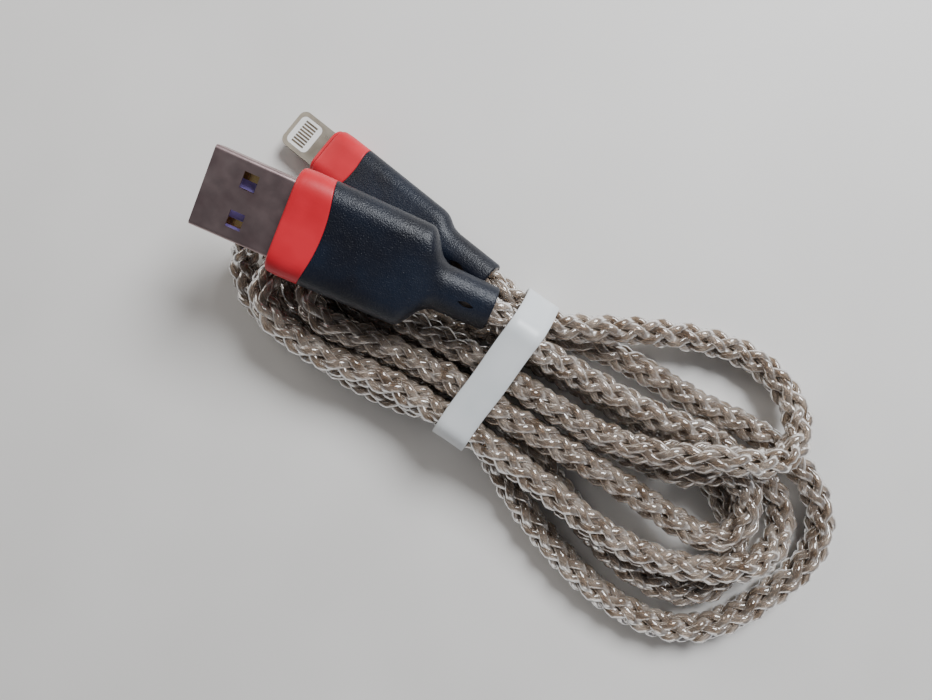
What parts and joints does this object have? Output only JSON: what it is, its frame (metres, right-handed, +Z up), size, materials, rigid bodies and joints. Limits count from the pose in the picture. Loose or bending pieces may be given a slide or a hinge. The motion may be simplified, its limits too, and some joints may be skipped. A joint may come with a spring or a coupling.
{
  "type": "charging cable",
  "caption": "Clear braided charging cable with a flat full-size plug and a small contact-tab plug, folded into a hank and held by a flat elastic band.",
  "frame": {"origin": "on the resting plane, under the middle of the box round the two plugs and the band", "axes": "+X along the hank away from the plugs, +Z up from the surface it lies on, +Y across the hank towards the phone plug's side"},
  "size_m": [0.1146, 0.05, 0.0214],
  "materials": {
    "plug_shell": "satin nickel",
    "tongue": "satin",
    "contact": "gold plated",
    "board": "satin",
    "component": "matte",
    "inner_mould": "matte",
    "collar": "satin",
    "overmould": "fine grain",
    "ferrule": "satin",
    "wire": "satin",
    "cord": "clear glossy braid",
    "tab": "satin",
    "plate": "satin",
    "band": "frosted translucent"
  },
  "bodies": {
    "hank": {"usb_lead": "cord", "phone_lead": "cord", "cord_hank": "cord"},
    "usb_plug": {"usb_shell": "plug_shell", "usb_tongue": "tongue", "usb_contacts": "contact", "usb_circuit_board": "board", "usb_resistors": "component", "usb_inner_mould": "inner_mould", "usb_collar": "collar", "usb_overmould": "overmould", "usb_crimp": "ferrule", "usb_wires": "wire", "usb_cord_end": "cord"},
    "phone_plug": {"phone_tab": "tab", "phone_contact_plate": "plate", "phone_contacts": "contact", "phone_circuit_board": "board", "phone_chip": "component", "phone_capacitors": "component", "phone_inner_mould": "inner_mould", "phone_collar": "collar", "phone_overmould": "overmould", "phone_crimp": "ferrule", "phone_wires": "wire", "phone_cord_end": "cord"},
    "band": {"tie_band": "band"}
  },
  "joints": [
    {"name": "usb_plug_lift", "type": "hinge", "parent": "hank", "child": "usb_plug", "pos_m": [0.01857, 0.00433, 0.01654], "axis": [-0.1908, 0.9816, 0], "range_deg": [0, 60]},
    {"name": "phone_plug_swing", "type": "hinge", "parent": "hank", "child": "phone_plug", "pos_m": [0.01562, 0.01168, 0.0085], "axis": [0, 0, -1], "range_deg": [0, 45]},
    {"name": "band_slide", "type": "slide", "parent": "hank", "child": "band", "axis": [1, 0, 0], "range_m": [0, 0.0015]}
  ]
}
